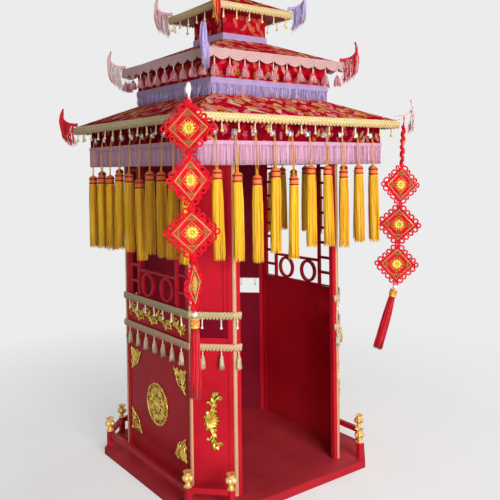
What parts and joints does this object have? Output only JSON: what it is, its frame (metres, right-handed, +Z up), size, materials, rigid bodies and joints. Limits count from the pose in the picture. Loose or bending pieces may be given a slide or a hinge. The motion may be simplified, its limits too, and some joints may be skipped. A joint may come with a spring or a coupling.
{
  "type": "bridal palanquin",
  "caption": "Red bridal palanquin: an open-fronted cabin with lattice windows on a railed deck, under stepped brocade canopies with fringes, tassels and hanging charms.",
  "frame": {"origin": "centre of the deck's underside, on the floor", "axes": "+Z up, the open doorway faces -Y, +X to the right of someone who looks at the doorway"},
  "size_m": [1.5177, 1.4719, 2.597],
  "materials": {
    "red_paint": "semi-gloss red paint",
    "cream_trim": "woven cream edge trim",
    "gold_relief": "gilt relief",
    "vase_gold": "gilt",
    "olive_braid": "gold-olive braid",
    "brocade": "red floral brocade",
    "gold_braid": "gold braid",
    "pink_fringe": "pink fringe",
    "purple_fringe": "lavender fringe",
    "pink_tassel": "pink tassel",
    "yellow_tassel": "yellow tassel",
    "crystal": "faceted silver",
    "mixed_fringe": "coloured horn fringe",
    "charm_red": "red knotted cord"
  },
  "bodies": {
    "root": {"back_wall": "red_paint", "braid_tassels": "olive_braid", "cabin_posts": "red_paint", "ceiling_board": "red_paint", "charm_knots_front": "charm_red", "charm_knots_right": "charm_red", "charm_tassel_front": "charm_red", "charm_tassel_right": "charm_red", "corner_boards": "red_paint", "corner_scrolls": "gold_relief", "corner_trims": "cream_trim", "corner_upper_boards": "red_paint", "deck": "red_paint", "finial": "gold_relief", "friezes": "gold_relief", "guard_rails": "red_paint", "head_rails": "red_paint", "long_tassels_back": "yellow_tassel", "long_tassels_front": "yellow_tassel", "long_tassels_left": "yellow_tassel", "long_tassels_right": "yellow_tassel", "lower_braid": "olive_braid", "lower_eave_braid": "gold_braid", "lower_eave_drops": "gold_braid", "lower_horn_fringes": "mixed_fringe", "lower_horns": "mixed_fringe", "lower_roof": "brocade", "medallions": "gold_relief", "mid_eave_braid": "pink_fringe", "mid_eave_drops": "pink_tassel", "mid_horn_fringes": "mixed_fringe", "mid_horns": "mixed_fringe", "mid_neck_box": "brocade", "mid_roof": "brocade", "pink_fringe": "pink_fringe", "post_vases": "vase_gold", "purple_band": "purple_fringe", "purple_fringe": "purple_fringe", "rail_posts": "red_paint", "side_panel_left": "red_paint", "side_panel_right": "red_paint", "swirl_ornaments": "gold_relief", "tassel_cords": "yellow_tassel", "top_eave_braid": "gold_braid", "top_eave_drops": "gold_braid", "top_horn_fringes": "mixed_fringe", "top_horns": "mixed_fringe", "top_neck_box": "brocade", "top_roof": "brocade", "upper_braid": "olive_braid", "valance_boards": "brocade", "valance_crystals": "crystal", "window_ladders_left": "red_paint", "window_ladders_right": "red_paint", "window_rings_left": "red_paint", "window_rings_right": "red_paint"}
  },
  "joints": []
}
